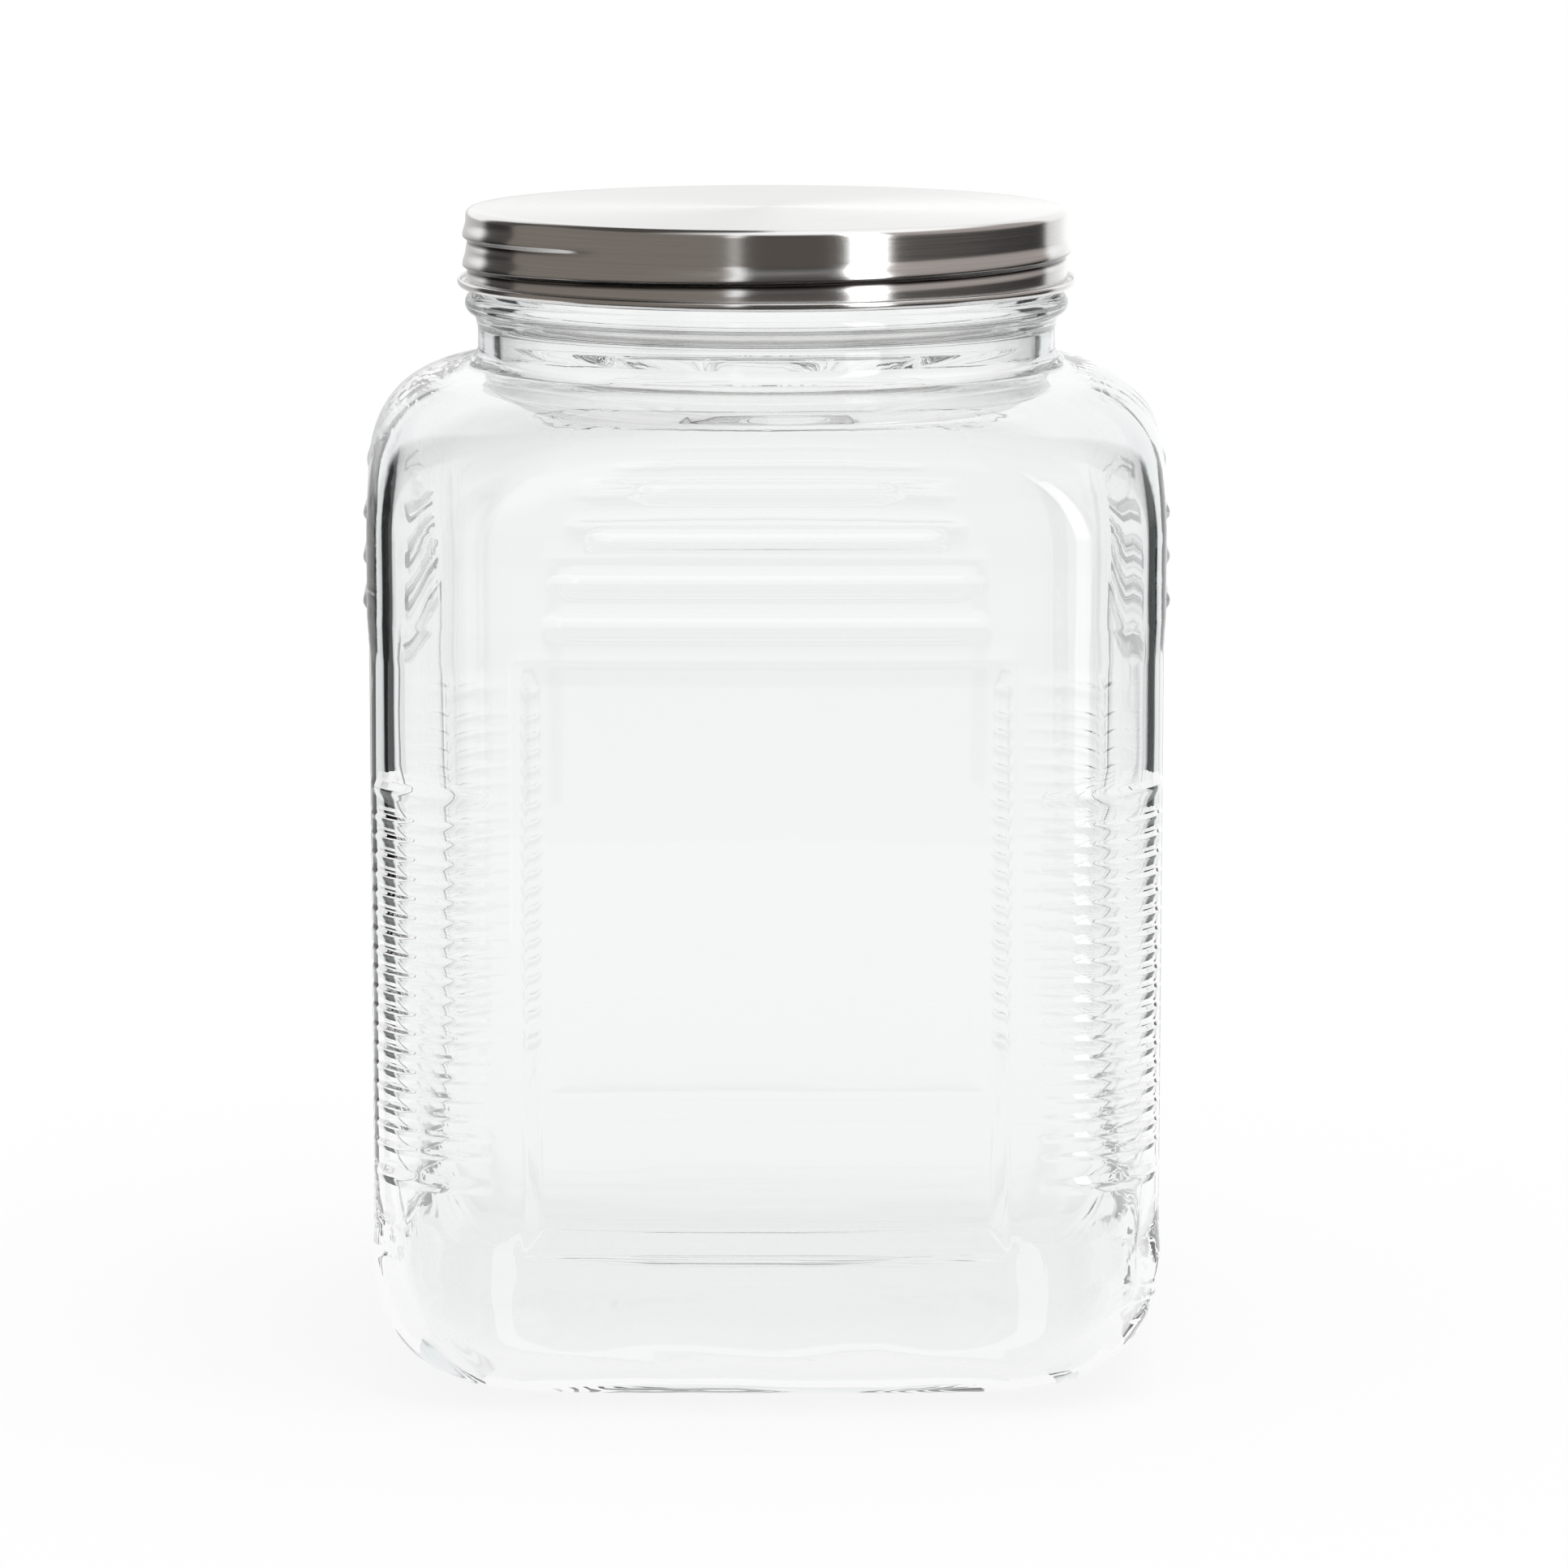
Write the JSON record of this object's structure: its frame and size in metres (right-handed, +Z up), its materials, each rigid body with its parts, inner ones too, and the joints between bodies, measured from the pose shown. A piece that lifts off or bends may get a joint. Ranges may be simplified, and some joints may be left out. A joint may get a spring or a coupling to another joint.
{
  "type": "cracker jar",
  "caption": "Empty square clear glass cracker jar with ribbed corners, recessed panels and a brushed steel screw lid",
  "frame": {"origin": "centre of the underside of the base, on the surface the jar stands on", "axes": "+Z up the jar's axis to the lid, -Y towards the front face, +X to the right seen from the front"},
  "size_m": [0.1614, 0.1614, 0.2311],
  "materials": {
    "clear_glass": "clear pressed glass",
    "brushed_steel": "fine brushed sheet steel"
  },
  "bodies": {
    "root": {"jar": "clear_glass", "lid": "brushed_steel"}
  },
  "joints": []
}
